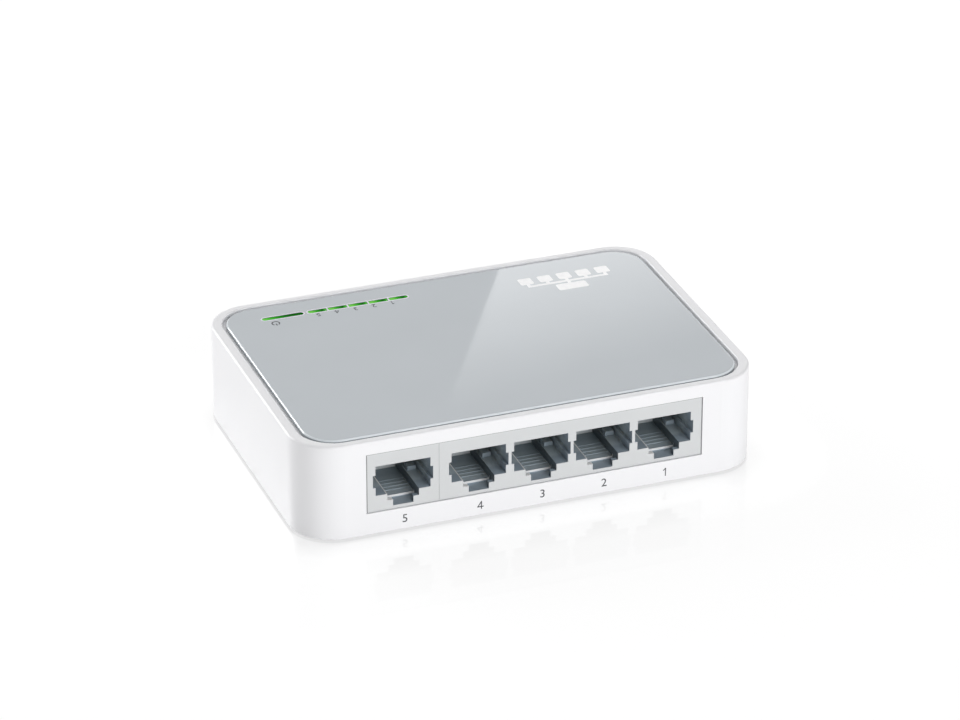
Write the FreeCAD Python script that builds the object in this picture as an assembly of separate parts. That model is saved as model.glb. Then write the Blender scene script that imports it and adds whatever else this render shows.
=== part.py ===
"""Five-port desktop network switch, as an assembly of separate parts.

Millimetres. X runs along the port side, from port 5 (-X) to port 1 (+X). The ports face -Y, the
indicators lie along the +Y edge of the top panel, and +Z is up. The origin is the bottom centre:
z = 0 is the plane that the rubber feet stand on.
"""

import FreeCAD, Part
import math
import os

V = FreeCAD.Vector

# ---- driving dimensions ------------------------------------------------------------------------
LENGTH, WIDTH, HEIGHT = 103.5, 70.0, 22.5
FOOT_LIFT = 0.5                 # the casing's underside stands this far above the floor
CORNER_R = 9.5
WALL = 2.0
RIM_SIDE, RIM_END = 1.7, 2.35   # width of the rim along the long sides and along the short ends
RECESS_R = 8.0
GROOVE, GROOVE_PORT_1 = 0.9, 0.7  # gap round the top panel, and the closer one at port 1's end
DECK_TOP, DECK_UNDER = 21.4, 20.0
BASE_T = 2.0
FIT = 0.15                      # assembly gap between casing parts

WINDOW_X = (-37.65, 37.95)      # the opening in the port wall
WINDOW_Z = (5.5, 19.4)
JACK_SET_BACK = 0.3             # port faces lie this far behind the wall's outer face

BOARD_Z, BOARD_T = 4.0, 1.6
BOARD_TOP = BOARD_Z + BOARD_T
BOARD_X, BOARD_Y = (-48.9, 48.9), (-32.6, 31.6)

# ---- 8-position modular port -------------------------------------------------------------------
PORT_PITCH = 13.97
PORT_1_X = 29.27
PORT_5_X = -29.45
PORT_X = {n: PORT_1_X - (n - 1) * PORT_PITCH for n in (1, 2, 3, 4)}
PORT_X[5] = PORT_5_X
BLOCK_Z = (BOARD_TOP, 19.3)
BLOCK_DEPTH = 17.6
QUAD_X = (-21.45, 37.82)
SINGLE_X = (-37.52, -21.5)
PLUG_W, PLUG_Z = 12.15, (9.3, 16.2)
GROOVE_W, GROOVE_Z = 13.3, (11.15, 14.1)
LATCH_W, LATCH_Z = 7.0, 7.75    # latch channel: width, and the shoulders' height in the lip
SLOT_W, SLOT_Z = 4.5, 6.35      # narrow slot in the lip
CHANNEL_Z = 7.05                # channel floor behind the latch pocket
LIP, POCKET = 1.1, 3.2          # depths at which the lip and the latch pocket end
CAVITY_DEPTH = 14.9
STOP_DEPTH, STOP_L, STOP_H = 8.2, 2.1, 0.95
STOP_X = (3.85, 5.75)           # the stop blocks' limits, either side of the centre
RIB_DEPTH, RIB_PITCH = 5.3, 1.4 # fine cross ribs on the channel floor
RIB_COUNT, RIB_H = 4, 0.1
CARRIER_T = 0.7
CONTACTS, CONTACT_PITCH, WIRE = 8, 1.02, 0.4
WIRES_W = CONTACTS * CONTACT_PITCH + 1.0
ROOF_Z = 17.95                  # top of the wire recess under the roof
FOLD_DEPTH, FOLD_Z, FOLD_R = 2.4, 16.95, 0.3
TIP_DEPTH, TIP_Z = 10.2, 12.7

# ---- indicators --------------------------------------------------------------------------------
LED_Y = 26.35
POWER_X, POWER_W = -35.6, 9.5
LINK_W, LINK_PITCH, LINK_1_X = 4.35, 4.7, -8.9
LINK_X = {n: LINK_1_X - (n - 1) * LINK_PITCH for n in (1, 2, 3, 4, 5)}
PIPE_D = 1.4
PIPE_SINK = 0.12                # the pipes end this far below the panel's surface
SLOT_GAP = 0.08
STEM_W, STEM_TOP, STEM_FOOT, PIPE_SHOULDER = 2.4, 13.0, 7.2, 18.5

# ---- fasteners and supports --------------------------------------------------------------------
BOSS_XY = [(-45.6, -8.0), (45.6, -8.0)]
BOSS_R, PILOT_R, PILOT_TOP = 2.6, 1.3, 13.5
POST_R, POST_TOP = 3.9, 5.3
HEAD_R, HEAD_H, HEAD_SEAT = 2.5, 1.7, 3.6
SHANK_R, SHANK_TOP = 1.27, 12.0
STANDOFF_XY = [(-44.0, 27.0), (44.0, 27.0)]
PEG_XY = [(-43.0, -27.5), (43.5, -27.5)]
STANDOFF_R = 2.8
FOOT_XY = [(sx * 42.5, sy * 25.5) for sx in (-1, 1) for sy in (-1, 1)]
FOOT_R, FOOT_SINK = 4.0, 0.6
LABEL_SIZE, LABEL_T, LABEL_Y = (46.0, 26.0), 0.15, 3.0

# ---- power inlet on the +X end -----------------------------------------------------------------
INLET_Y, INLET_Z = 14.0, BOARD_TOP + 6.4
INLET_X = (36.0, 49.55)
INLET_W, INLET_H = 9.0, 11.0
NOSE_R, NOSE_END, NOSE_HOLE_R = 4.1, 51.35, 4.35
BARREL_R, BARREL_END = 3.2, 41.5
PIN_R, PIN_TIP = 1.0, 50.4
PIN_TAIL_R, PIN_TAIL_X = 1.3, 37.0
LEAF_ROOT, LEAF_TIP = (42.9, 8.0), (48.3, 9.55)
LEAF_W, LEAF_T, LEAF_ROOT_R = 2.2, 0.3, 0.35
LEAF_SLOT_END, REAR_SLOT_END = 49.15, 38.1

FLOOR_Z = FOOT_LIFT
FRONT_Y = -WIDTH / 2
JACK_Y = FRONT_Y + JACK_SET_BACK
PARTS = {}


# ---- helpers -----------------------------------------------------------------------------------
def box(x, y, z):
    """A block between pairs of limits."""
    return Part.makeBox(x[1] - x[0], y[1] - y[0], z[1] - z[0], V(x[0], y[0], z[0]))


def centred(cx, cy, w, d, z):
    return box((cx - w / 2, cx + w / 2), (cy - d / 2, cy + d / 2), z)


def cylinder(x, y, r, z):
    return Part.makeCylinder(r, z[1] - z[0], V(x, y, z[0]))


def rounded(w, d, r, z, cx=0.0, cy=0.0):
    """A rounded rectangle, raised between two heights."""
    block = centred(cx, cy, w, d, z)
    upright = [e for e in block.Edges if abs(e.Vertexes[0].Z - e.Vertexes[1].Z) > 1e-6]
    return block.makeFillet(r, upright)


def prism_x(points, x):
    """A closed outline of (y, z) points, swept along X."""
    wire = Part.makePolygon([V(x[0], y, z) for y, z in points + points[:1]])
    return Part.Face(wire).extrude(V(x[1] - x[0], 0, 0))


def prism_y(points, y):
    """A closed outline of (x, z) points, swept along Y."""
    wire = Part.makePolygon([V(x, y[0], z) for x, z in points + points[:1]])
    return Part.Face(wire).extrude(V(0, y[1] - y[0], 0))


def soften(shape, r, test):
    """Rounds the edges whose bounding box passes a test."""
    return shape.makeFillet(r, [e for e in shape.Edges if test(e.BoundBox)])


def at_height(z, reach=1e-3):
    return lambda b: abs(b.ZMin - z) < reach and abs(b.ZMax - z) < reach


def joined(shapes):
    return shapes[0].multiFuse(shapes[1:]).removeSplitter()


def save(name, shape):
    """Keeps a node: one solid, or a compound of separate ones."""
    solids = shape.Solids
    for s in solids:
        if not s.isValid() or s.Volume <= 0:
            raise ValueError(name + " holds a bad solid")
    PARTS[name] = solids[0] if len(solids) == 1 else Part.makeCompound(solids)


def depth(d):
    """The Y coordinate at a depth behind the port faces."""
    return JACK_Y + d


# ---- casing ------------------------------------------------------------------------------------
HOOK_XY = [(sx * 38.0, y) for sx in (-1, 1) for y in (-14.0, 20.0)]
HOOK_W, HOOK_T, HOOK_LIP, HOOK_DROP = 4.0, 1.2, 0.4, 2.7
TONGUE_X, TONGUE_W, TONGUE_REACH, TONGUE_Z = (-24.0, 24.0), 8.0, 0.9, (1.3, 2.4)


def tongues(grow=0.0):
    """Tabs on the base's long edges that hold in pockets of the housing wall."""
    edge = WIDTH / 2 - WALL
    half = TONGUE_W / 2 + grow
    z = (TONGUE_Z[0] - grow, TONGUE_Z[1] + grow)
    reach = edge + TONGUE_REACH + grow
    tabs = []
    for x in TONGUE_X:
        for side in (-1, 1):
            y = sorted((side * (edge - 1.0), side * reach))
            tabs.append(box((x - half, x + half), y, z))
    return tabs


def upper_housing():
    body = rounded(LENGTH, WIDTH, CORNER_R, (FLOOR_Z, HEIGHT))
    body = soften(body, 0.6, at_height(HEIGHT))
    body = soften(body, 0.3, at_height(FLOOR_Z))
    inner_l, inner_w = LENGTH - 2 * WALL, WIDTH - 2 * WALL
    body = body.cut(rounded(inner_l, inner_w, CORNER_R - WALL, (FLOOR_Z - 1, DECK_UNDER)))
    recess_l, recess_w = LENGTH - 2 * RIM_END, WIDTH - 2 * RIM_SIDE
    body = body.cut(rounded(recess_l, recess_w, RECESS_R, (DECK_TOP, HEIGHT + 1)))
    body = soften(body, 0.25, lambda b: at_height(HEIGHT)(b) and b.XMax < recess_l / 2 + 0.01
                  and b.XMin > -recess_l / 2 - 0.01)
    body = body.cut(box(WINDOW_X, (FRONT_Y - 1, FRONT_Y + WALL + 1), WINDOW_Z))
    bosses = [cylinder(x, y, BOSS_R, (POST_TOP + 0.1, DECK_UNDER + 0.5)) for x, y in BOSS_XY]
    ribs = [box(sorted((x, math.copysign(LENGTH / 2 - WALL + 0.5, x))), (y - 0.6, y + 0.6),
                (9.0, DECK_UNDER + 0.5)) for x, y in BOSS_XY]
    body = joined([body] + bosses + ribs)
    for x, y in BOSS_XY:
        body = body.cut(cylinder(x, y, PILOT_R, (0, PILOT_TOP)))
    nose = Part.makeCylinder(NOSE_HOLE_R, 10, V(LENGTH / 2 - WALL - 1, INLET_Y, INLET_Z), V(1, 0, 0))
    flare = Part.makeCone(NOSE_HOLE_R, NOSE_HOLE_R + 0.5, 0.5, V(LENGTH / 2 - 0.5, INLET_Y, INLET_Z),
                          V(1, 0, 0))
    body = body.cut(nose).cut(flare)
    deck = (DECK_UNDER - 1, DECK_TOP + 0.5)
    for x, w in [(POWER_X, POWER_W)] + [(x, LINK_W) for x in LINK_X.values()]:
        body = body.cut(centred(x, LED_Y, w + 0.3, PIPE_D + 0.3, deck))
    for x, y in HOOK_XY:
        body = body.cut(centred(x, y, HOOK_W + 0.4, HOOK_T + 2 * HOOK_LIP + 0.4, deck))
    for tab in tongues(0.12):
        body = body.cut(tab)
    return body


def top_panel():
    w = LENGTH - 2 * RIM_END - GROOVE - GROOVE_PORT_1
    d = WIDTH - 2 * RIM_SIDE - 2 * GROOVE
    body = rounded(w, d, RECESS_R - GROOVE, (DECK_TOP, HEIGHT), (GROOVE - GROOVE_PORT_1) / 2)
    body = soften(body, 0.45, at_height(HEIGHT))
    through = (DECK_TOP - 1, HEIGHT + 1)
    for x, width in [(POWER_X, POWER_W)] + [(x, LINK_W) for x in LINK_X.values()]:
        body = body.cut(centred(x, LED_Y, width + 2 * SLOT_GAP, PIPE_D + 2 * SLOT_GAP, through))
    hooks = []
    for x, y in HOOK_XY:
        low = DECK_TOP - HOOK_DROP
        barb = DECK_UNDER - 0.05
        outline = [(y - HOOK_T / 2, DECK_TOP + 0.2), (y - HOOK_T / 2, low), (y, low),
                   (y + HOOK_T / 2 + HOOK_LIP, low + 0.7), (y + HOOK_T / 2 + HOOK_LIP, barb),
                   (y + HOOK_T / 2, barb), (y + HOOK_T / 2, DECK_TOP + 0.2)]
        hooks.append(prism_x(outline, (x - HOOK_W / 2, x + HOOK_W / 2)))
    return joined([body] + hooks)


VENT_W, VENT_L, VENT_PITCH, VENT_COUNT = 1.6, 17.0, 3.4, 5
VENT_X, VENT_Y = 35.0, 0.0


def vents():
    """Two groups of round-ended slots through the base, beside the label."""
    cuts = []
    for side in (-1, 1):
        for row in range(VENT_COUNT):
            y = VENT_Y + (row - (VENT_COUNT - 1) / 2) * VENT_PITCH + LABEL_Y
            x = side * VENT_X
            cuts.append(centred(x, y, VENT_L * 0.6, VENT_W, (0, BASE_T + 2)))
            for end in (-1, 1):
                cuts.append(cylinder(x + end * VENT_L * 0.3, y, VENT_W / 2, (0, BASE_T + 2)))
    return cuts


def base_cover():
    top = FLOOR_Z + BASE_T
    body = rounded(LENGTH - 2 * WALL - 2 * FIT, WIDTH - 2 * WALL - 2 * FIT, CORNER_R - WALL - FIT,
                   (FLOOR_Z, top))
    posts = [cylinder(x, y, POST_R, (top - 0.5, POST_TOP)) for x, y in BOSS_XY]
    posts += [cylinder(x, y, STANDOFF_R, (top - 0.5, BOARD_Z)) for x, y in STANDOFF_XY + PEG_XY]
    posts += [cylinder(x, y, 1.2, (BOARD_Z - 0.5, BOARD_TOP + 0.6)) for x, y in PEG_XY]
    body = joined([body] + posts + tongues())
    for x, y in BOSS_XY:
        body = body.cut(cylinder(x, y, HEAD_R + 0.25, (0, HEAD_SEAT)))
        body = body.cut(cylinder(x, y, SHANK_R + 0.3, (0, POST_TOP + 1)))
    for x, y in STANDOFF_XY:
        body = body.cut(cylinder(x, y, 0.95, (1.2, BOARD_Z + 1)))
    for x, y in FOOT_XY:
        body = body.cut(cylinder(x, y, FOOT_R + 0.1, (0, FLOOR_Z + FOOT_SINK)))
    body = body.cut(centred(0, LABEL_Y, LABEL_SIZE[0] + 0.4, LABEL_SIZE[1] + 0.4,
                            (0, FLOOR_Z + LABEL_T + 0.05)))
    for cut in vents():
        body = body.cut(cut)
    return body


def rubber_feet():
    feet = []
    for x, y in FOOT_XY:
        foot = cylinder(x, y, FOOT_R, (0, FLOOR_Z + FOOT_SINK))
        feet.append(soften(foot, 0.2, at_height(0)))
    return Part.makeCompound(feet)


def rating_label():
    z = FLOOR_Z + 0.05
    return rounded(LABEL_SIZE[0], LABEL_SIZE[1], 1.0, (z, z + LABEL_T), 0, LABEL_Y)


def screw(x, y, seat, head_r, head_h, shank_r, end):
    """A cross-recess pan-head screw that points up, with its head below the seat."""
    head = soften(cylinder(x, y, head_r, (seat - head_h, seat)), 0.35, at_height(seat - head_h))
    tip = Part.makeCone(shank_r, 0.3, 1.2, V(x, y, end - 1.2))
    body = joined([head, cylinder(x, y, shank_r, (seat - 0.2, end - 1.2)), tip])
    arm, deep = head_r * 1.15, (seat - head_h - 1, seat - head_h * 0.45)
    return body.cut(centred(x, y, arm, 0.5, deep)).cut(centred(x, y, 0.5, arm, deep))


def housing_screws():
    return Part.makeCompound([screw(x, y, HEAD_SEAT, HEAD_R, HEAD_H, SHANK_R, SHANK_TOP)
                              for x, y in BOSS_XY])


def board_screws():
    """These point down through the board into the base's two hollow standoffs."""
    screws = []
    for x, y in STANDOFF_XY:
        s = screw(x, y, 0.0, 2.2, 1.4, 0.92, 4.0)
        s.rotate(V(x, y, 0), V(1, 0, 0), 180)
        s.translate(V(0, 0, BOARD_TOP))
        screws.append(s)
    return Part.makeCompound(screws)


# ---- indicators --------------------------------------------------------------------------------
def light_pipe(x, w):
    """A blade with a wide head in the panel's slot, narrowing to a stem over its lamp."""
    head, stem = w / 2, STEM_W / 2
    top = HEIGHT - PIPE_SINK
    outline = [(x - head, top), (x - head, PIPE_SHOULDER), (x - stem, STEM_TOP), (x - stem, STEM_FOOT),
               (x + stem, STEM_FOOT), (x + stem, STEM_TOP), (x + head, PIPE_SHOULDER), (x + head, top)]
    return prism_y(outline, (LED_Y - PIPE_D / 2, LED_Y + PIPE_D / 2))


def led_baffle():
    """The opaque holder that keeps the pipes upright and apart, hung from the deck by two legs."""
    x = (POWER_X - 7.4, LINK_X[1] + 5.0)
    z = (9.0, 12.6)
    y = (LED_Y - 2.2, LED_Y + 2.2)
    legs = [box((a, a + 2.2), y, (z[0], DECK_UNDER)) for a in (x[0], x[1] - 2.2)]
    body = joined([box(x, y, z)] + legs)
    for c in [POWER_X] + list(LINK_X.values()):
        body = body.cut(centred(c, LED_Y, STEM_W + 0.2, PIPE_D + 0.2, (z[0] - 1, z[1] + 1)))
    return body


def indicator_leds():
    lamps = [centred(x, LED_Y, 1.6, 1.0, (BOARD_TOP, BOARD_TOP + 0.9))
             for x in [POWER_X] + list(LINK_X.values())]
    return Part.makeCompound(lamps)


# ---- port blocks -------------------------------------------------------------------------------
def port_cavity(cx):
    """Everything that one port takes out of its block."""
    def room(w, d, z):
        return box((cx - w / 2, cx + w / 2), (depth(d[0]), depth(d[1])), z)

    back = CAVITY_DEPTH
    rooms = [room(PLUG_W, (-1, back), PLUG_Z),
             room(GROOVE_W, (-1, back), GROOVE_Z),
             room(LATCH_W, (POCKET - 0.1, back), (CHANNEL_Z, PLUG_Z[0] + 0.1)),
             room(LATCH_W, (-1, POCKET), (LATCH_Z, PLUG_Z[0] + 0.1)),
             room(LATCH_W, (LIP, POCKET), (SLOT_Z, LATCH_Z + 0.1)),
             room(SLOT_W, (-1, POCKET), (SLOT_Z, LATCH_Z + 0.1)),
             room(WIRES_W, (LIP + 0.5, BLOCK_DEPTH + 1), (PLUG_Z[1] - 0.1, ROOF_Z)),
             room(WIRES_W, (back - 0.1, BLOCK_DEPTH + 1), (BLOCK_Z[0] - 1, ROOF_Z))]
    cavity = joined(rooms)
    stop_y = (depth(STOP_DEPTH), depth(STOP_DEPTH + STOP_L))
    for side in (-1, 1):
        x = sorted(cx + side * reach for reach in STOP_X)
        cavity = cavity.cut(box(x, stop_y, (PLUG_Z[0] - 1, PLUG_Z[0] + STOP_H)))
    for i in range(RIB_COUNT):
        d = RIB_DEPTH + i * RIB_PITCH
        cavity = cavity.cut(room(LATCH_W + 1, (d, d + 0.3), (CHANNEL_Z - 1, CHANNEL_Z + RIB_H)))
    return cavity


def port_block(x, ports):
    """A moulded block with one cavity per port and two pegs that locate it in the board."""
    body = box(x, (JACK_Y, depth(BLOCK_DEPTH)), BLOCK_Z)
    pegs = [cylinder(px, depth(8.0), 1.6, (BOARD_Z - 0.9, BLOCK_Z[0] + 0.3)) for px in peg_x(x)]
    body = joined([body] + pegs)
    for n in ports:
        body = body.cut(port_cavity(PORT_X[n]))
    return body


def peg_x(x):
    return x[0] + 2.6, x[1] - 2.6


def contact_x(n):
    first = PORT_X[n] - (CONTACTS - 1) / 2 * CONTACT_PITCH
    return [first + i * CONTACT_PITCH for i in range(CONTACTS)]


def contact_springs(n):
    """The eight sloping spring fingers of one port, each with the round of its fold."""
    y0, y1 = depth(FOLD_DEPTH), depth(TIP_DEPTH)
    slope = math.atan2(FOLD_Z - TIP_Z, y1 - y0)
    up = (WIRE / 2 * math.sin(slope), WIRE / 2 * math.cos(slope))
    outline = [(y0 - up[0], FOLD_Z - up[1]), (y1 - up[0], TIP_Z - up[1]),
               (y1 + 0.9, TIP_Z + 0.2 - up[1]), (y1 + 0.9, TIP_Z + 0.2 + up[1]),
               (y1 + up[0], TIP_Z + up[1]), (y0 + up[0], FOLD_Z + up[1])]
    fingers = []
    for x in contact_x(n):
        beam = prism_x(outline, (x - WIRE / 2, x + WIRE / 2))
        fold = Part.makeCylinder(FOLD_R, WIRE, V(x - WIRE / 2, y0, FOLD_Z), V(1, 0, 0))
        fingers.append(joined([beam, fold]))
    return Part.makeCompound(fingers)


def contact_carriers():
    """The moulded inserts that close the back of each cavity, in front of the contact pins."""
    half = WIRES_W / 2 - 0.05
    y = (depth(CAVITY_DEPTH), depth(CAVITY_DEPTH + CARRIER_T))
    z = (BLOCK_Z[0] + 0.05, PLUG_Z[1] + 0.3)
    return Part.makeCompound([box((x - half, x + half), y, z) for x in PORT_X.values()])


def pin_depth(i):
    """Pins stand in two staggered rows behind the carrier."""
    return CAVITY_DEPTH + CARRIER_T + 0.2 + (i % 2) * 1.05


def contact_pins(n):
    """The fixed part of each contact: a run under the roof and a pin down through the board."""
    run_z = (ROOF_Z - 0.15 - WIRE, ROOF_Z - 0.15)
    pins = []
    for i, x in enumerate(contact_x(n)):
        d = pin_depth(i)
        wide = (x - WIRE / 2, x + WIRE / 2)
        run = box(wide, (depth(FOLD_DEPTH - FOLD_R), depth(d + WIRE)), run_z)
        pin = box(wide, (depth(d), depth(d + WIRE)), (BOARD_Z - 1.2, run_z[1]))
        pins.append(joined([run, pin]))
    return Part.makeCompound(pins)


# ---- main board --------------------------------------------------------------------------------
def main_board():
    x_mid, y_mid = sum(BOARD_X) / 2, sum(BOARD_Y) / 2
    body = rounded(BOARD_X[1] - BOARD_X[0], BOARD_Y[1] - BOARD_Y[0], 6.0, (BOARD_Z, BOARD_TOP),
                   x_mid, y_mid)
    z = (BOARD_Z - 1, BOARD_TOP + 1)
    holes = [cylinder(x, y, POST_R + 0.4, z) for x, y in BOSS_XY]
    holes += [cylinder(x, y, 1.2, z) for x, y in STANDOFF_XY]
    holes += [cylinder(x, y, 1.3, z) for x, y in PEG_XY]
    holes += [cylinder(px, depth(8.0), 1.65, z) for x in (QUAD_X, SINGLE_X) for px in peg_x(x)]
    for n in PORT_X:
        for i, x in enumerate(contact_x(n)):
            holes.append(cylinder(x, depth(pin_depth(i) + WIRE / 2), 0.36, z))
    holes += [centred(x, y, w + 0.4, d + 0.4, z) for x, y, w, d in inlet_tabs()]
    return body.cut(Part.makeCompound(holes))


def gull_leads(cx, cy, body_w, count, pitch, size, z, along_x=True):
    """Two rows of flat leads, one along each of two facing sides of a chip."""
    lead_w, reach = size
    leads = []
    for i in range(count):
        run = (i - (count - 1) / 2) * pitch
        for side in (-1, 1):
            off = side * (body_w / 2 + reach / 2)
            if along_x:
                leads.append(centred(cx + run, cy + off, lead_w, reach, z))
            else:
                leads.append(centred(cx + off, cy + run, reach, lead_w, z))
    return leads


CHIP_XY, CHIP_SIZE, CHIP_H = (2.0, 11.0), 14.0, 1.4
LEAD_Z = (BOARD_TOP, BOARD_TOP + 0.2)
QUAD_MAG = (8.5, -9.5, 36.0, 9.6)       # centre x, y, then width and depth
SINGLE_MAG = (-29.5, -9.5, 13.0, 9.6)
MAG_H = 5.8


def chip(cx, cy, w, d, h, lift=0.1):
    """A moulded package with an edge break round its top."""
    body = centred(cx, cy, w, d, (BOARD_TOP + lift, BOARD_TOP + lift + h))
    return soften(body, min(0.3, h / 4), at_height(BOARD_TOP + lift + h))


def switch_chip():
    body = chip(CHIP_XY[0], CHIP_XY[1], CHIP_SIZE, CHIP_SIZE, CHIP_H)
    corner = CHIP_SIZE / 2 - 1.4
    top = BOARD_TOP + 0.1 + CHIP_H
    return body.cut(cylinder(CHIP_XY[0] - corner, CHIP_XY[1] - corner, 0.6, (top - 0.1, top + 1)))


def switch_chip_leads():
    x, y = CHIP_XY
    size = (0.22, 1.0)
    leads = gull_leads(x, y, CHIP_SIZE, 24, 0.5, size, LEAD_Z)
    leads += gull_leads(x, y, CHIP_SIZE, 24, 0.5, size, LEAD_Z, along_x=False)
    return Part.makeCompound(leads)


def magnetics(spec):
    return chip(spec[0], spec[1], spec[2], spec[3], MAG_H, 0.25)


def magnetics_leads():
    x, y, w, d = QUAD_MAG
    leads = gull_leads(x, y, d, 24, 1.4, (0.5, 1.6), LEAD_Z)
    x, y, w, d = SINGLE_MAG
    leads += gull_leads(x, y, d, 8, 1.4, (0.5, 1.6), LEAD_Z)
    return Part.makeCompound(leads)


CAN_XYR = [(31.0, 24.5, 3.15), (24.0, 24.5, 3.15), (30.0, 5.5, 2.5)]
CAN_H = 7.0
CRYSTAL_XY, INDUCTOR_XY, REGULATOR_XY = (-14.0, 12.0), (22.0, 12.0), (15.5, 24.5)


def capacitor_cans():
    cans = []
    for x, y, r in CAN_XYR:
        can = soften(cylinder(x, y, r, (BOARD_TOP + 0.9, BOARD_TOP + CAN_H)), 0.4,
                     at_height(BOARD_TOP + CAN_H))
        for angle in (0, 60, 120):
            score = centred(x, y, r * 1.5, 0.2, (BOARD_TOP + CAN_H - 0.12, BOARD_TOP + CAN_H + 1))
            score.rotate(V(x, y, 0), V(0, 0, 1), angle)
            can = can.cut(score)
        cans.append(can)
    return Part.makeCompound(cans)


def capacitor_bases():
    return Part.makeCompound([centred(x, y, 2 * r + 0.3, 2 * r + 0.3, (BOARD_TOP, BOARD_TOP + 0.9))
                              for x, y, r in CAN_XYR])


def crystal_can():
    can = rounded(11.4, 4.6, 2.25, (BOARD_TOP + 0.3, BOARD_TOP + 3.8), *CRYSTAL_XY)
    flange = rounded(12.2, 5.2, 2.5, (BOARD_TOP, BOARD_TOP + 0.35), *CRYSTAL_XY)
    return joined([soften(can, 0.4, at_height(BOARD_TOP + 3.8)), flange])


def power_inductor():
    body = rounded(7.0, 7.0, 1.2, (BOARD_TOP, BOARD_TOP + 4.0), *INDUCTOR_XY)
    return body.cut(cylinder(*INDUCTOR_XY, 2.6, (BOARD_TOP + 3.6, BOARD_TOP + 5)))


def regulator():
    return chip(*REGULATOR_XY, 6.5, 3.5, 1.6)


def regulator_leads():
    x, y = REGULATOR_XY
    leads = [centred(x + i * 2.3, y - 2.6, 0.7, 1.7, LEAD_Z) for i in (-1, 0, 1)]
    leads.append(centred(x, y + 2.6, 3.0, 1.7, LEAD_Z))
    return Part.makeCompound(leads)


def chip_parts(rows, size):
    """Rows of surface-mount parts: (first x, y, count, step in x)."""
    w, d, h = size
    return Part.makeCompound([centred(x + i * step, y, w, d, (BOARD_TOP, BOARD_TOP + h))
                              for x, y, count, step in rows for i in range(count)])


RESISTOR_ROWS = [(-34.0, 22.8, 9, 3.4), (-30.0, 2.0, 6, 3.2), (-9.5, -2.2, 8, 2.4)]
CAPACITOR_ROWS = [(-34.0, 18.5, 5, 3.6), (-8.0, 21.5, 5, 4.0), (-40.0, -1.5, 3, 3.0),
                  (14.0, -1.0, 5, 2.8)]


# ---- power inlet -------------------------------------------------------------------------------
def inlet_tabs():
    """The inlet's terminals through the board: centre x, y, then width and depth."""
    return [(37.4, INLET_Y, 0.8, 3.2), (LEAF_ROOT[0], INLET_Y, 0.8, 2.4), (40.6, INLET_Y + 3.7, 2.0, 0.6)]


def inlet_housing():
    y = (INLET_Y - INLET_W / 2, INLET_Y + INLET_W / 2)
    body = box(INLET_X, y, (BOARD_TOP, BOARD_TOP + INLET_H))
    axis = V(1, 0, 0)
    nose = Part.makeCylinder(NOSE_R, NOSE_END - INLET_X[1] + 1, V(INLET_X[1] - 1, INLET_Y, INLET_Z), axis)
    body = joined([body, nose])
    body = body.cut(Part.makeCylinder(BARREL_R, 20, V(BARREL_END, INLET_Y, INLET_Z), axis))
    body = body.cut(Part.makeCone(BARREL_R, BARREL_R + 0.5, 0.5, V(NOSE_END - 0.5, INLET_Y, INLET_Z),
                                  axis))
    body = body.cut(Part.makeCylinder(PIN_TAIL_R + 0.02, 6, V(PIN_TAIL_X, INLET_Y, INLET_Z), axis))
    half = LEAF_W / 2 + 0.25
    body = body.cut(box((LEAF_ROOT[0] - 0.6, LEAF_SLOT_END), (INLET_Y - half, INLET_Y + half),
                        (BOARD_TOP - 1, INLET_Z)))
    body = body.cut(box((INLET_X[0] - 1, REAR_SLOT_END), (INLET_Y - 1.8, INLET_Y + 1.8),
                        (BOARD_TOP - 1, INLET_Z + 2)))
    x, side_y, w, d = inlet_tabs()[2]
    return body.cut(centred(x, side_y, w + 0.1, d + 0.1, (BOARD_TOP - 1, BOARD_TOP + 4.5)))


def inlet_pin():
    axis = V(1, 0, 0)
    tail = Part.makeCylinder(PIN_TAIL_R, BARREL_END - PIN_TAIL_X, V(PIN_TAIL_X, INLET_Y, INLET_Z), axis)
    pin = Part.makeCylinder(PIN_R, PIN_TIP - PIN_R - BARREL_END + 0.5,
                            V(BARREL_END - 0.5, INLET_Y, INLET_Z), axis)
    return joined([tail, pin, Part.makeSphere(PIN_R, V(PIN_TIP - PIN_R, INLET_Y, INLET_Z))])


def inlet_terminals():
    """The tabs that the pin, the leaf spring and the shunt end in."""
    x, y, w, d = inlet_tabs()[0]
    rear = centred(x, y, w, d, (BOARD_Z - 1.2, INLET_Z + 1.8))
    hole = Part.makeCylinder(PIN_TAIL_R + 0.02, 10, V(INLET_X[0] - 2, INLET_Y, INLET_Z), V(1, 0, 0))
    rear = rear.cut(hole)
    x, y, w, d = inlet_tabs()[1]
    under = centred(x, y, w, d - 0.3, (BOARD_Z - 1.2, LEAF_ROOT[1] - LEAF_ROOT_R - 0.03))
    x, y, w, d = inlet_tabs()[2]
    side = centred(x, y, w, d, (BOARD_Z - 1.2, BOARD_TOP + 4.0))
    return Part.makeCompound([rear, under, side])


def inlet_leaf():
    """The sprung strip that presses on the plug's sleeve from below."""
    (x0, z0), (x1, z1) = LEAF_ROOT, LEAF_TIP
    outline = [(x0, z0 - LEAF_T / 2), (x1, z1 - LEAF_T / 2), (x1 + 0.6, z1 - 0.5 - LEAF_T / 2),
               (x1 + 0.6, z1 - 0.5 + LEAF_T / 2), (x1, z1 + LEAF_T / 2), (x0, z0 + LEAF_T / 2)]
    strip = prism_y(outline, (INLET_Y - LEAF_W / 2, INLET_Y + LEAF_W / 2))
    root = Part.makeCylinder(LEAF_ROOT_R, LEAF_W, V(x0, INLET_Y - LEAF_W / 2, z0), V(0, 1, 0))
    return joined([strip, root])


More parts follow.
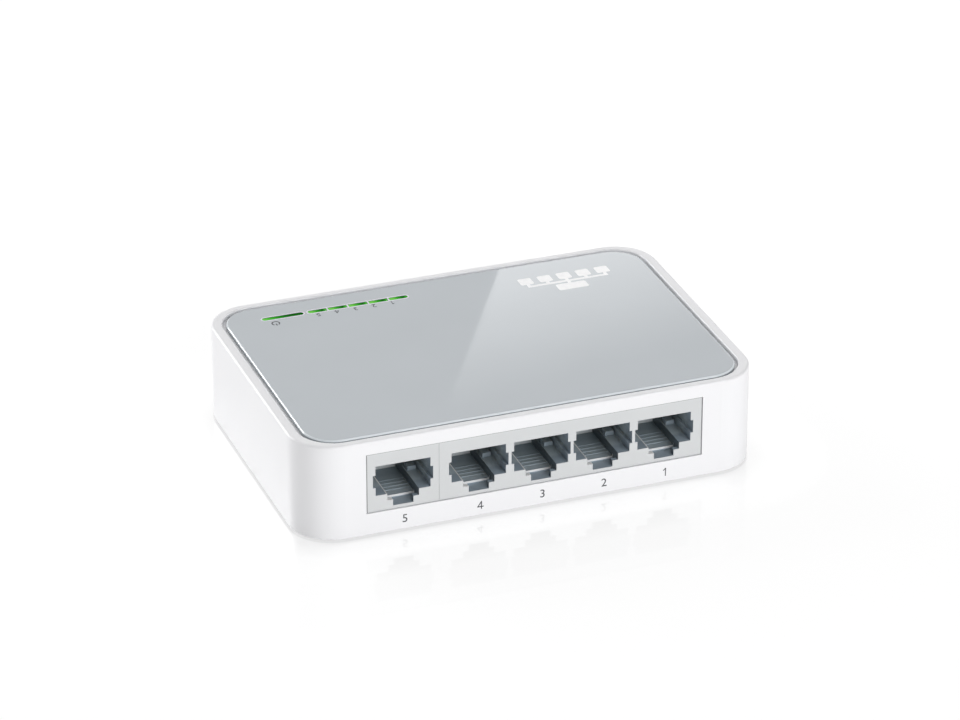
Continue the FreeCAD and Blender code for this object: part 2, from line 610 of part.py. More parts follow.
# ---- assembly ----------------------------------------------------------------------------------
def build():
    save("upper_housing", upper_housing())
    save("top_panel", top_panel())
    save("base_cover", base_cover())
    save("rubber_feet", rubber_feet())
    save("rating_label", rating_label())
    save("housing_screws", housing_screws())
    save("board_screws", board_screws())
    save("light_pipe_power", light_pipe(POWER_X, POWER_W))
    for n, x in LINK_X.items():
        save("light_pipe_port_%d" % n, light_pipe(x, LINK_W))
    save("led_baffle", led_baffle())
    save("indicator_leds", indicator_leds())
    save("port_block_quad", port_block(QUAD_X, (1, 2, 3, 4)))
    save("port_block_single", port_block(SINGLE_X, (5,)))
    save("contact_carriers", contact_carriers())
    for n in PORT_X:
        save("port_%d_contact_springs" % n, contact_springs(n))
        save("port_%d_contact_pins" % n, contact_pins(n))
    save("main_board", main_board())
    save("switch_chip", switch_chip())
    save("switch_chip_leads", switch_chip_leads())
    save("transformer_quad", magnetics(QUAD_MAG))
    save("transformer_single", magnetics(SINGLE_MAG))
    save("transformer_leads", magnetics_leads())
    save("capacitor_cans", capacitor_cans())
    save("capacitor_bases", capacitor_bases())
    save("crystal_can", crystal_can())
    save("power_inductor", power_inductor())
    save("voltage_regulator", regulator())
    save("voltage_regulator_leads", regulator_leads())
    save("chip_resistors", chip_parts(RESISTOR_ROWS, (1.6, 0.8, 0.5)))
    save("chip_capacitors", chip_parts(CAPACITOR_ROWS, (1.0, 1.8, 0.9)))
    save("inlet_housing", inlet_housing())
    save("inlet_pin", inlet_pin())
    save("inlet_terminals", inlet_terminals())
    save("inlet_leaf_spring", inlet_leaf())


build()
os.makedirs("parts", exist_ok=True)
for name, shape in PARTS.items():
    shape.exportStep("parts/%s.step" % name)
    print("%-26s solids %3d  volume %9.2f mm3" % (name, len(shape.Solids), shape.Volume))
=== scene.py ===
"""Looks, prints and studio for the desktop network switch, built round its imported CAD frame.

The frame is in metres. X runs along the ports, -Y is out of the ports, and Z is up.
"""

import math

import bmesh
import bpy
from mathutils import Matrix, Vector

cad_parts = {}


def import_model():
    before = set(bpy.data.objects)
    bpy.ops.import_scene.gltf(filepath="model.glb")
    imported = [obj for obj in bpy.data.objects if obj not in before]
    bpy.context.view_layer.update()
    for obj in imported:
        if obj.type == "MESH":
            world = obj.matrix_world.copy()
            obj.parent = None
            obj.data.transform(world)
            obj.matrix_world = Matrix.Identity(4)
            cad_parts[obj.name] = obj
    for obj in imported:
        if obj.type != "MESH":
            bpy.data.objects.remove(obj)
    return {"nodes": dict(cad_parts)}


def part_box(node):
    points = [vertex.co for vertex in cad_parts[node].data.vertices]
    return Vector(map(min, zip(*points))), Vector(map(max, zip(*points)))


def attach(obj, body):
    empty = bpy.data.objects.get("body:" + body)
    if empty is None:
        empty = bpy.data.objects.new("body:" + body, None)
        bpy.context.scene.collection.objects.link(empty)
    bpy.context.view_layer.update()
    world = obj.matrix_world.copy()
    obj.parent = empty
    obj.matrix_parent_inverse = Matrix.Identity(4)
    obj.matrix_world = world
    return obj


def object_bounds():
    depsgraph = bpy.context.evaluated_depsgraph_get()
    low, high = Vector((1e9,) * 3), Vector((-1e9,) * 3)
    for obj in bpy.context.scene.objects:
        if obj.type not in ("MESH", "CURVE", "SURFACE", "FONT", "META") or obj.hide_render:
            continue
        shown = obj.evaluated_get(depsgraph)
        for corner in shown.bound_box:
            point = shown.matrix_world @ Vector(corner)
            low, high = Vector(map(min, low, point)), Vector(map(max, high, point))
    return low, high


MM = 0.001
PRINT_T = 0.012 * MM            # thickness of printed marks
PORTS = (1, 2, 3, 4, 5)
RANGE_SOCKETS = ("From Min", "From Max", "To Min", "To Max")

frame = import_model()
cad_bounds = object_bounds()


# ---- colour and node helpers -------------------------------------------------------------------
def srgb(red, green, blue):
    """A linear colour from 0-255 display values."""
    def channel(v):
        v = v / 255
        return v / 12.92 if v <= 0.04045 else ((v + 0.055) / 1.055) ** 2.4
    return (channel(red), channel(green), channel(blue), 1.0)


def shade(colour, gain):
    """A colour made lighter or darker."""
    return tuple(min(1.0, c * gain) for c in colour[:3]) + (1.0,)


def grey(value):
    return (value, value, value, 1.0)


class Surface:
    """A Principled material and short names for the nodes that drive it."""

    def __init__(self, name, roughness=0.5, metallic=0.0, specular=0.5, coat=0.0, coat_roughness=0.05):
        self.material = bpy.data.materials.new(name)
        self.material.use_nodes = True
        self.nodes = self.material.node_tree.nodes
        self.links = self.material.node_tree.links
        self.shader = next(n for n in self.nodes if n.type == "BSDF_PRINCIPLED")
        self.coordinates = self.nodes.new("ShaderNodeTexCoord")
        self.place = self.coordinates.outputs["Object"]
        self.set("Roughness", roughness)
        self.set("Metallic", metallic)
        self.set("Specular IOR Level", specular)
        self.set("Coat Weight", coat)
        self.set("Coat Roughness", coat_roughness)

    def set(self, socket, value):
        self.shader.inputs[socket].default_value = value

    def drive(self, socket, output):
        self.links.new(output, self.shader.inputs[socket])

    def noise(self, size_mm, detail=3.0, stretch=(1, 1, 1)):
        """Noise with features of about this size; stretch makes it run along an axis."""
        mapping = self.nodes.new("ShaderNodeMapping")
        mapping.inputs["Scale"].default_value = [1 / s for s in stretch]
        node = self.nodes.new("ShaderNodeTexNoise")
        node.inputs["Scale"].default_value = 1 / (size_mm * MM)
        node.inputs["Detail"].default_value = detail
        self.links.new(self.place, mapping.inputs["Vector"])
        self.links.new(mapping.outputs["Vector"], node.inputs["Vector"])
        return node.outputs["Fac"]

    def within(self, axis, start, end, fade):
        """1 between two places along an axis and 0 outside them, with faded ends, in metres."""
        split = self.nodes.new("ShaderNodeSeparateXYZ")
        self.links.new(self.place, split.inputs["Vector"])
        return self.band(split.outputs[axis], start, end, fade)

    def vector(self, operation, value, number=(0, 0, 0)):
        node = self.nodes.new("ShaderNodeVectorMath")
        node.operation = operation
        self.links.new(value, node.inputs[0])
        node.inputs[1].default_value = number
        return node.outputs["Value" if operation in ("LENGTH", "DOT_PRODUCT") else "Vector"]

    def from_corner_centres(self, half, corner):
        """Distance on the floor from a centred rounded rectangle's inner, square-cornered core."""
        core = (half[0] - corner, half[1] - corner, 0)
        offset = self.vector("SUBTRACT", self.vector("ABSOLUTE", self.place), core)
        return self.vector("LENGTH", self.vector("MAXIMUM", offset))

    def repeated(self, axis, centre, pitch):
        """Distance along an axis from the nearest of a row of centres, with its sign."""
        split = self.nodes.new("ShaderNodeSeparateXYZ")
        self.links.new(self.place, split.inputs["Vector"])
        node = self.nodes.new("ShaderNodeMath")
        node.operation = "WRAP"
        self.links.new(split.outputs[axis], node.inputs[0])
        node.inputs[1].default_value = centre + pitch / 2
        node.inputs[2].default_value = centre - pitch / 2
        half = pitch / 2
        return self.remap(node.outputs["Value"], centre - half, centre + half, -half, half)

    def band(self, value, start, end, fade):
        """1 while a value lies between two limits and 0 outside them, with faded ends."""
        rise = self.remap(value, start - fade, start + fade, 0.0, 1.0)
        return self.times(rise, self.remap(value, end - fade, end + fade, 1.0, 0.0))

    def times(self, first, second):
        node = self.nodes.new("ShaderNodeMath")
        node.operation = "MULTIPLY"
        for socket, value in zip(node.inputs, (first, second)):
            if isinstance(value, float):
                socket.default_value = value
            else:
                self.links.new(value, socket)
        return node.outputs["Value"]

    def facing(self, axis, start, end):
        """0 to 1 as the surface's own direction along an axis goes from start to end."""
        split = self.nodes.new("ShaderNodeSeparateXYZ")
        self.links.new(self.coordinates.outputs["Normal"], split.inputs["Vector"])
        return self.remap(split.outputs[axis], start, end, 0.0, 1.0)

    def along(self, axis, start, end):
        """0 to 1 as the surface goes from start to end along an axis, in metres."""
        split = self.nodes.new("ShaderNodeSeparateXYZ")
        self.links.new(self.place, split.inputs["Vector"])
        return self.remap(split.outputs[axis], start, end, 0.0, 1.0)

    def remap(self, value, low, high, new_low, new_high):
        node = self.nodes.new("ShaderNodeMapRange")
        for socket, number in zip(RANGE_SOCKETS, (low, high, new_low, new_high)):
            node.inputs[socket].default_value = number
        self.links.new(value, node.inputs["Value"])
        return node.outputs["Result"]

    def ramp(self, factor, stops):
        """A colour ramp from (position, colour) stops."""
        node = self.nodes.new("ShaderNodeValToRGB")
        elements = node.color_ramp.elements
        while len(elements) < len(stops):
            elements.new(0.5)
        for element, (position, colour) in zip(elements, stops):
            element.position = position
            element.color = colour
        self.links.new(factor, node.inputs["Fac"])
        return node.outputs["Color"]

    def blend(self, factor, first, second):
        node = self.nodes.new("ShaderNodeMix")
        node.data_type = "RGBA"
        self.links.new(factor, node.inputs["Factor"])
        for socket, value in ((6, first), (7, second)):
            if isinstance(value, tuple):
                node.inputs[socket].default_value = value
            else:
                self.links.new(value, node.inputs[socket])
        return node.outputs[2]

    def bump(self, height, depth_mm):
        node = self.nodes.new("ShaderNodeBump")
        node.inputs["Distance"].default_value = depth_mm * MM
        self.links.new(height, node.inputs["Height"])
        self.drive("Normal", node.outputs["Normal"])

    def mottle(self, colour, amount, size_mm):
        """The base colour, with broad slight variation in it."""
        stops = [(0.3, shade(colour, 1 - amount)), (0.7, shade(colour, 1 + amount))]
        return self.ramp(self.noise(size_mm, 2.0), stops)

    def grain(self, size_mm, depth_mm, roughness, spread):
        """Fine texture in both the roughness and the relief."""
        texture = self.noise(size_mm)
        self.drive("Roughness", self.remap(texture, 0.3, 0.7, roughness - spread, roughness + spread))
        self.bump(texture, depth_mm)


def port_x(n):
    """The middle of a port."""
    low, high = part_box("port_%d_contact_springs" % n)
    return (low.x + high.x) / 2


def dress(material, *nodes):
    """Gives CAD nodes a material."""
    for name in nodes:
        mesh = frame["nodes"][name].data
        mesh.materials.clear()
        mesh.materials.append(material)


# ---- materials of the visible outside ----------------------------------------------------------
SHELL = srgb(239, 239, 241)
PANEL = srgb(186, 192, 197)
# painted highlight on the panel's bevel, and painted shade on its side walls
PANEL_BEVEL_HIGHLIGHT = srgb(228, 234, 238)
PANEL_WALL_SHADE = srgb(150, 157, 161)
PORT_FACE = srgb(208, 210, 211)
# painted shade in the sockets, from the mouth inwards and on the riser beside the latch channel, and a
# painted highlight colour for their lit edges
PORT_MOUTH = srgb(154, 168, 180)
PORT_INSIDE = srgb(180, 193, 202)
PORT_DEEP = srgb(118, 132, 142)
PORT_RISER = srgb(66, 76, 84)
PORT_LIT_STEP = srgb(252, 252, 252)
# painted shade: the dark line along the edges of the port blocks' faces
PORT_EDGE_SHADE = srgb(136, 138, 138)
INK = srgb(78, 80, 84)
WHITE_INK = srgb(253, 253, 254)

# how far up a panel surface faces, from where the painted bevel highlight or side-wall shade starts to
# where it is complete
BEVEL_TILT = (0.985, 0.9)
WALL_TILT = (0.3, 0.05)

# painted shade and painted highlights in a socket: depths run in from the block's face, heights run up
# from the main board, and places across run from the port's middle
SOCKET_DEPTH = 15 * MM
RISER_TOP = (3.8 * MM, 3.6 * MM)
STEP_DEPTH, STEP_HEIGHT = (3.1 * MM, 3.3 * MM), (0.98 * MM, 2.0 * MM)
SHOULDER_ACROSS, SHOULDER_HEIGHT = (-3.72 * MM, -3.4 * MM), (3.6 * MM, 3.9 * MM)
LEDGE_ACROSS, LEDGE_DEPTH, LEDGE_HEIGHT = (-3.6 * MM, -2.2 * MM), (-1 * MM, 1.2 * MM), (2.0 * MM, 2.3 * MM)

# the cavity behind the face, and the painted shade lines on the face
CAVITY_DEPTH = (0.07 * MM, 15.2 * MM)
ROOF_T = 0.6 * MM
LINE_START, TOP_LINE_END, SIDE_LINE_END, LINE_FADE = 0.01 * MM, 0.16 * MM, 0.2 * MM, 0.005 * MM


def shell_plastic():
    """Satin white moulding."""
    s = Surface("white_shell", specular=0.45)
    s.drive("Base Color", s.mottle(SHELL, 0.008, 25))
    s.grain(0.35, 0.004, 0.34, 0.04)
    return s.material


def panel_plastic():
    """Polished grey cover with its bevel painted paler as a highlight, its side walls painted darker as
    shade, and faint haze in the polish.
    """
    s = Surface("grey_panel", specular=0.5, coat=0.35, coat_roughness=0.02)
    top = s.blend(s.facing("Z", *BEVEL_TILT), s.mottle(PANEL, 0.012, 18), PANEL_BEVEL_HIGHLIGHT)
    s.drive("Base Color", s.blend(s.facing("Z", *WALL_TILT), top, PANEL_WALL_SHADE))
    s.drive("Roughness", s.remap(s.noise(6, 4), 0.3, 0.7, 0.018, 0.032))
    s.bump(s.noise(9, 1), 0.002)
    return s.material


def offset(span, start):
    """A pair of limits, moved along by a starting place."""
    return (start + span[0], start + span[1])


def socket_shading(s, face, board_top):
    """Painted shade: blue-grey that darkens with depth, and is darkest on the riser beside the latch
    channel.
    """
    depth = s.along("Y", face, face + SOCKET_DEPTH)
    shaded = s.ramp(depth, [(0.2, PORT_MOUTH), (0.28, PORT_INSIDE), (0.8, PORT_DEEP)])
    below_shoulder = s.along("Z", *offset(RISER_TOP, board_top))
    riser = s.times(s.times(below_shoulder, s.facing("X", -0.5, -0.9)), 0.8)
    return s.blend(riser, shaded, PORT_RISER)


def lit_edges(s, face, board_top, centre):
    """Where the latch step at the pocket's end, the lip's ledge and the channel's shoulder are bright."""
    across = s.repeated("X", centre, port_x(1) - port_x(2))
    step = s.times(s.within("Y", *offset(STEP_DEPTH, face), 0.02 * MM),
                   s.within("Z", *offset(STEP_HEIGHT, board_top), 0.06 * MM))
    ledge = s.times(s.band(across, *LEDGE_ACROSS, 0.05 * MM),
                    s.within("Y", *offset(LEDGE_DEPTH, face), 0.05 * MM))
    ledge = s.times(ledge, s.within("Z", *offset(LEDGE_HEIGHT, board_top), 0.05 * MM))
    shoulder = s.times(s.band(across, *SHOULDER_ACROSS, 0.03 * MM),
                       s.within("Z", *offset(SHOULDER_HEIGHT, board_top), 0.05 * MM))
    return step, ledge, s.times(shoulder, 0.8)


def port_plastic(node, port):
    """Light moulding at the face that turns to shaded blue-grey inside the sockets.

    A thin line of painted shade runs along the face's top, and along the outer edge of port 5's block.
    """
    (left, face, _), (_, _, top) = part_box(node)
    board_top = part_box("main_board")[1].z
    s = Surface("port_plastic_" + node, specular=0.4)
    inside = socket_shading(s, face, board_top)
    for bright in lit_edges(s, face, board_top, port_x(port)):
        inside = s.blend(bright, inside, PORT_LIT_STEP)
    # painted shade: a thin dark line along the face's top, and along port 5's outer edge
    top_shade_line = s.within("Z", top - TOP_LINE_END, top - LINE_START, LINE_FADE)
    outside = s.blend(top_shade_line, s.mottle(PORT_FACE, 0.012, 8), PORT_EDGE_SHADE)
    if port == 5:
        side_shade_line = s.within("X", left + LINE_START, left + SIDE_LINE_END, LINE_FADE)
        outside = s.blend(side_shade_line, outside, PORT_EDGE_SHADE)
    cavity = s.times(s.within("Y", *offset(CAVITY_DEPTH, face), 0.05 * MM),
                     s.within("Z", 0.0, top - ROOF_T, 0.1 * MM))
    s.drive("Base Color", s.blend(cavity, outside, inside))
    s.grain(0.25, 0.006, 0.38, 0.06)
    return s.material


def carrier_plastic():
    s = Surface("carrier_plastic", specular=0.5)
    s.drive("Base Color", s.mottle(srgb(206, 212, 215), 0.03, 2))
    s.grain(0.3, 0.004, 0.3, 0.05)
    return s.material


# the glow of a light pipe from its -X end to its +X end, as (position, colour)
POWER_GLOW = [(0.0, srgb(110, 196, 80)), (0.2, srgb(64, 166, 44)), (0.42, srgb(22, 130, 14)),
              (0.62, srgb(0, 92, 0)), (1.0, srgb(0, 88, 0))]
LINK_GLOW = [(0.0, srgb(112, 194, 84)), (0.24, srgb(98, 184, 66)), (0.5, srgb(38, 146, 24)),
             (0.78, srgb(0, 90, 0)), (0.88, srgb(40, 140, 28)), (1.0, srgb(96, 182, 74))]


def lit_pipe(node, stops):
    """Green light pipe, unevenly lit along its length."""
    low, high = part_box(node)
    s = Surface(node + "_glow", specular=0.04)
    glow = s.ramp(s.along("X", low.x, high.x), stops)
    s.drive("Base Color", glow)
    s.drive("Emission Color", glow)
    s.set("Emission Strength", 0.34)
    s.grain(0.4, 0.01, 0.5, 0.06)
    return s.material


# painted highlight: a pale colour standing in for the lit chamfers round the indicator windows and between
# the link segments
def halo_plastic():
    s = Surface("halo_plastic", specular=0.5)
    s.drive("Base Color", s.mottle(srgb(228, 226, 236), 0.02, 3))
    s.grain(0.3, 0.003, 0.3, 0.05)
    return s.material


def rubber():
    s = Surface("grey_rubber", specular=0.3)
    s.drive("Base Color", s.mottle(srgb(72, 73, 76), 0.08, 2))
    s.grain(0.15, 0.02, 0.8, 0.08)
    return s.material


def label_film():
    """A blank film with a fine woven sheen."""
    s = Surface("label_film", specular=0.5)
    s.drive("Base Color", s.mottle(srgb(214, 216, 219), 0.02, 5))
    s.grain(0.2, 0.003, 0.42, 0.05)
    return s.material


def ink(name, colour, roughness=0.5):
    s = Surface(name, specular=0.5)
    s.drive("Base Color", s.mottle(colour, 0.06, 0.6))
    s.grain(0.12, 0.001, roughness, 0.05)
    return s.material


# ---- materials of the inside -------------------------------------------------------------------
def moulded(name, colour, roughness=0.55, grain_mm=0.2, depth_mm=0.01, variation=0.1):
    s = Surface(name, specular=0.4)
    s.drive("Base Color", s.mottle(colour, variation, grain_mm * 8))
    s.grain(grain_mm, depth_mm, roughness, 0.08)
    return s.material


def metal(name, colour, roughness, streak=(1, 1, 1), size_mm=0.3):
    s = Surface(name, metallic=1.0)
    texture = s.noise(size_mm, 4, streak)
    s.drive("Base Color", s.ramp(texture, [(0.25, shade(colour, 0.86)), (0.75, colour)]))
    s.drive("Roughness", s.remap(texture, 0.3, 0.7, roughness - 0.07, roughness + 0.09))
    s.bump(texture, 0.004)
    return s.material


def board_laminate():
    """Green solder mask over copper tracks, with bare fibre at the board's edge."""
    s = Surface("board_laminate", specular=0.5, coat=0.3, coat_roughness=0.15)
    low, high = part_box("main_board")
    mask = s.mottle(srgb(22, 92, 48), 0.12, 6)
    tracks = s.ramp(s.noise(2.2, 0, (6, 1, 1)), [(0.47, grey(0.0)), (0.5, grey(1.0)), (0.53, grey(0.0))])
    copper = s.blend(tracks, mask, srgb(38, 124, 62))
    edge = s.ramp(s.along("Z", low.z, high.z),
                  [(0.06, grey(0.0)), (0.1, grey(1.0)), (0.9, grey(1.0)), (0.94, grey(0.0))])
    s.drive("Base Color", s.blend(edge, copper, srgb(150, 158, 108)))
    s.grain(0.8, 0.012, 0.3, 0.08)
    return s.material


def dress_all():
    """Every CAD node gets its own finish."""
    dress(shell_plastic(), "upper_housing", "base_cover")
    dress(panel_plastic(), "top_panel")
    dress(port_plastic("port_block_quad", 1), "port_block_quad")
    dress(port_plastic("port_block_single", 5), "port_block_single")
    dress(carrier_plastic(), "contact_carriers")
    dress(lit_pipe("light_pipe_power", POWER_GLOW), "light_pipe_power")
    for node in ["light_pipe_port_%d" % n for n in PORTS]:
        dress(lit_pipe(node, LINK_GLOW), node)
    dress(rubber(), "rubber_feet")
    dress(label_film(), "rating_label")
    dress(metal("screw_steel", srgb(186, 186, 190), 0.34), "housing_screws", "board_screws")
    dress(moulded("black_nylon", srgb(34, 34, 36)), "led_baffle", "capacitor_bases", "inlet_housing")
    dress(moulded("led_lens", srgb(222, 232, 196), 0.2, 0.3, 0.003, 0.04), "indicator_leds")
    dress(board_laminate(), "main_board")
    dress(moulded("chip_resin", srgb(44, 45, 48), 0.6, 0.12, 0.006), "switch_chip", "transformer_quad",
          "transformer_single", "voltage_regulator")
    dress(metal("tinned_leads", srgb(206, 206, 204), 0.3), "switch_chip_leads", "transformer_leads",
          "voltage_regulator_leads")
    dress(metal("can_aluminium", srgb(206, 208, 211), 0.28, (1, 1, 8)), "capacitor_cans")
    dress(metal("crystal_steel", srgb(200, 200, 200), 0.26, (8, 1, 1)), "crystal_can")
    dress(moulded("ferrite", srgb(58, 58, 60), 0.7, 0.1, 0.02), "power_inductor")
    dress(moulded("resistor_glaze", srgb(30, 31, 36), 0.25, 0.2, 0.004), "chip_resistors")
    dress(moulded("capacitor_ceramic", srgb(170, 142, 104), 0.45, 0.15, 0.004), "chip_capacitors")
    dress(metal("contact_nickel", srgb(212, 208, 200), 0.2), "inlet_pin", "inlet_terminals",
          "inlet_leaf_spring")
    gold = metal("contact_gold", srgb(226, 190, 112), 0.22)
    for n in PORTS:
        dress(gold, "port_%d_contact_springs" % n, "port_%d_contact_pins" % n)


# ---- printed marks -----------------------------------------------------------------------------
NUMERAL_H = 1.9 * MM
NUMERAL_Z = 2.9 * MM
SMALL_H = 1.45 * MM
SMALL_PITCH = 4.27 * MM
NUMERAL_SHIFT = 0.25 * MM       # along X from the port's middle
SMALL_SHIFT = (1.0 * MM, -1.15 * MM)      # from the middle link pipe's lower corner
SYMBOL_SHIFT = (2.3 * MM, -1.95 * MM)     # from the power pipe's lower corner
SYMBOL_RADIUS, SYMBOL_LINE = 0.82 * MM, 0.3 * MM
PICTOGRAM_INSET = (19.5 * MM, 11.0 * MM)  # from the panel's far right corner
BOLDER = 0.012 * MM             # how far each edge of a character is moved outwards
FROM_BEHIND = 180.0             # the marks on the panel are read from the indicators' side

# the numerals that the built-in font draws too plainly, as (x, y) points in numeral heights
STROKES = {"1": [(-0.2, 0.24), (0.06, 0.46), (0.06, -0.46)],
           "4": [(0.12, -0.46), (0.12, 0.44), (-0.32, -0.2), (0.34, -0.2)]}
STROKE_W = 0.115


def piece(name, mesh, material, body="casing"):
    """Adds a mesh to the scene as a piece of the object."""
    thing = bpy.data.objects.new(name, mesh)
    bpy.context.scene.collection.objects.link(thing)
    mesh.materials.clear()
    mesh.materials.append(material)
    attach(thing, body)
    return thing


def glyph_mesh(text, height):
    """A generic character as a thin flat solid, centred on the origin and facing +Z."""
    if text in STROKES:
        return stroke_mesh([(x * height, y * height) for x, y in STROKES[text]], STROKE_W * height)
    curve = bpy.data.curves.new("glyph_" + text, "FONT")
    curve.body = text
    curve.size = (height - 2 * BOLDER) / 0.7
    curve.offset = BOLDER
    curve.align_x = "CENTER"
    curve.align_y = "CENTER"
    curve.extrude = PRINT_T / 2
    holder = bpy.data.objects.new("glyph_" + text, curve)
    mesh = bpy.data.meshes.new_from_object(holder)
    bpy.data.objects.remove(holder)
    return mesh


def stroke_mesh(points, width):
    """A thin flat line through (x, y) points."""
    bars = []
    for (x0, y0), (x1, y1) in zip(points, points[1:]):
        length = math.hypot(x1 - x0, y1 - y0)
        bar = plate_mesh(rounded_loop(length + width * 0.8, width, width * 0.2), PRINT_T)
        turn = math.degrees(math.atan2(y1 - y0, x1 - x0))
        bars.append(set_at(bar, (x0 + x1) / 2, (y0 + y1) / 2, -PRINT_T / 2, turn))
    return merged("stroke", bars)


def ring_mesh(outer, inner, height):
    """A flat ring between two loops with the same number of (x, y) points."""
    work = bmesh.new()
    loops = [[work.verts.new((x, y, z)) for x, y in points]
             for points, z in ((outer, 0), (inner, 0), (inner, height), (outer, height))]
    count = len(outer)
    for a, b in zip(loops, loops[1:] + loops[:1]):
        for i in range(count):
            j = (i + 1) % count
            work.faces.new((a[i], a[j], b[j], b[i]))
    return finished(work, "ring")


def plate_mesh(points, height):
    """A flat plate with a closed outline of (x, y) points."""
    work = bmesh.new()
    base = work.faces.new([work.verts.new((x, y, 0)) for x, y in points])
    raised = bmesh.ops.extrude_face_region(work, geom=[base])["geom"]
    upper = [v for v in raised if isinstance(v, bmesh.types.BMVert)]
    bmesh.ops.translate(work, vec=(0, 0, height), verts=upper)
    return finished(work, "plate")


def finished(work, name):
    bmesh.ops.recalc_face_normals(work, faces=work.faces)
    mesh = bpy.data.meshes.new(name)
    work.to_mesh(mesh)
    work.free()
    return mesh


def merged(name, meshes):
    """One mesh out of several."""
    work = bmesh.new()
    for mesh in meshes:
        work.from_mesh(mesh)
        bpy.data.meshes.remove(mesh)
    return finished(work, name)


def rounded_loop(w, d, r, cx=0.0, cy=0.0, steps=8):
    """Points round a rounded rectangle."""
    corners = ((1, 1, 0), (-1, 1, 90), (-1, -1, 180), (1, -1, 270))
    points = []
    for sx, sy, start in corners:
        for i in range(steps + 1):
            angle = math.radians(start + 90 * i / steps)
            points.append((cx + sx * (w / 2 - r) + r * math.cos(angle),
                           cy + sy * (d / 2 - r) + r * math.sin(angle)))
    return points


def arc_band(radius, width, start, end, height, steps=28):
    """A flat band along an arc, between two angles in degrees."""
    def arc(r, angles):
        return [(r * math.cos(math.radians(a)), r * math.sin(math.radians(a))) for a in angles]
    angles = [start + (end - start) * i / steps for i in range(steps + 1)]
    return plate_mesh(arc(radius + width / 2, angles) + arc(radius - width / 2, angles[::-1]), height)


def set_at(mesh, x, y, z, turn=0.0, upright=False):
    """Turns a flat mark about Z, stands it on the port wall if upright, and moves it into place."""
    matrix = Matrix.Rotation(math.radians(turn), 4, "Z")
    if upright:
        matrix = Matrix.Rotation(math.radians(90), 4, "X") @ matrix
    mesh.transform(Matrix.Translation((x, y, z)) @ matrix)
    return mesh


def port_numerals(dark):
    """A numeral on the wall below each port."""
    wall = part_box("upper_housing")[0].y
    for n in PORTS:
        mark = set_at(glyph_mesh(str(n), NUMERAL_H), port_x(n) + NUMERAL_SHIFT, wall - PRINT_T / 2,
                      NUMERAL_Z, upright=True)
        piece("port_%d_numeral" % n, mark, dark)


def indicator_numerals(dark):
    """A small numeral beside each link indicator."""
    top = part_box("top_panel")[1].z
    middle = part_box("light_pipe_port_3")[0]
    for n in PORTS:
        x = middle.x + SMALL_SHIFT[0] - (n - 3) * SMALL_PITCH
        y = middle.y + SMALL_SHIFT[1]
        mark = set_at(glyph_mesh(str(n), SMALL_H), x, y, top + PRINT_T / 2, FROM_BEHIND)
        piece("indicator_%d_numeral" % n, mark, dark)


def power_symbol(dark):
    """The usual broken ring and bar beside the power indicator."""
    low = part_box("light_pipe_power")[0]
    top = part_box("top_panel")[1].z
    line, radius = SYMBOL_LINE, SYMBOL_RADIUS
    ring = arc_band(radius, line, 125, 415, PRINT_T)
    bar = plate_mesh(rounded_loop(line, radius * 1.15, line * 0.3, 0, radius * 0.75), PRINT_T)
    symbol = merged("power_symbol", [ring, bar])
    mark = set_at(symbol, low.x + SYMBOL_SHIFT[0], low.y + SYMBOL_SHIFT[1], top, FROM_BEHIND)
    piece("power_symbol", mark, dark)


def indicator_rims(pale):
    """Pale rims round the two indicator windows, with bars between the link segments: painted highlights
    that stand in for their lit chamfers.
    """
    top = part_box("top_panel")[1].z
    rim = 0.34 * MM
    inset = 0.06 * MM
    spans = {"indicator_rim_power": ["light_pipe_power"],
             "indicator_rim_link": ["light_pipe_port_%d" % n for n in PORTS]}
    for name, members in spans.items():
        boxes = sorted([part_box(m) for m in members], key=lambda b: b[0].x)
        low, high = boxes[0][0], boxes[-1][1]
        x, y = (low.x + high.x) / 2, (low.y + high.y) / 2
        w, d = high.x - low.x - inset, high.y - low.y - inset
        outer = rounded_loop(w + 2 * rim, d + 2 * rim, d / 2 + rim, x, y)
        inner = rounded_loop(w, d, d / 2, x, y)
        parts = [ring_mesh(outer, inner, PRINT_T)]
        for left, right in zip(boxes, boxes[1:]):
            gap = (left[1].x + right[0].x) / 2
            width = right[0].x - left[1].x
            parts.append(plate_mesh(rounded_loop(width, d, width * 0.2, gap, y), PRINT_T))
        mark = set_at(merged(name, parts), 0, 0, top)
        piece(name, mark, pale)


def network_pictogram(white):
    """A plain tree of five small squares under one larger block, in place of lettering."""
    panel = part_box("top_panel")
    spread, small, hub, line, stem = 22 * MM, 3.1 * MM, (7.0 * MM, 3.0 * MM), 0.8 * MM, 0.7 * MM

    def slab(cx, low, high, width, corner):
        return plate_mesh(rounded_loop(width, high - low, corner, cx, (low + high) / 2), PRINT_T)

    rail = (-line / 2, line / 2)
    parts = [slab(0, rail[0], rail[1], spread - small, 0.05 * MM),
             slab(0, rail[1], rail[1] + stem, line, 0.05 * MM),
             slab(0, rail[1] + stem, rail[1] + stem + hub[1], hub[0], 0.5 * MM)]
    for i in range(5):
        x = (i / 4 - 0.5) * (spread - small - line)
        parts.append(slab(x, rail[0] - stem, rail[0], line, 0.05 * MM))
        parts.append(slab(x, rail[0] - stem - small, rail[0] - stem, small, 0.5 * MM))
    x = panel[1].x - PICTOGRAM_INSET[0]
    y = panel[1].y - PICTOGRAM_INSET[1]
    mark = set_at(merged("pictogram", parts), x, y, panel[1].z, FROM_BEHIND)
    piece("network_pictogram", mark, white)


def printed_marks():
    dark = ink("grey_ink", INK)
    port_numerals(dark)
    indicator_numerals(dark)
    power_symbol(dark)
    indicator_rims(halo_plastic())
    network_pictogram(ink("white_ink", WHITE_INK, 0.15))


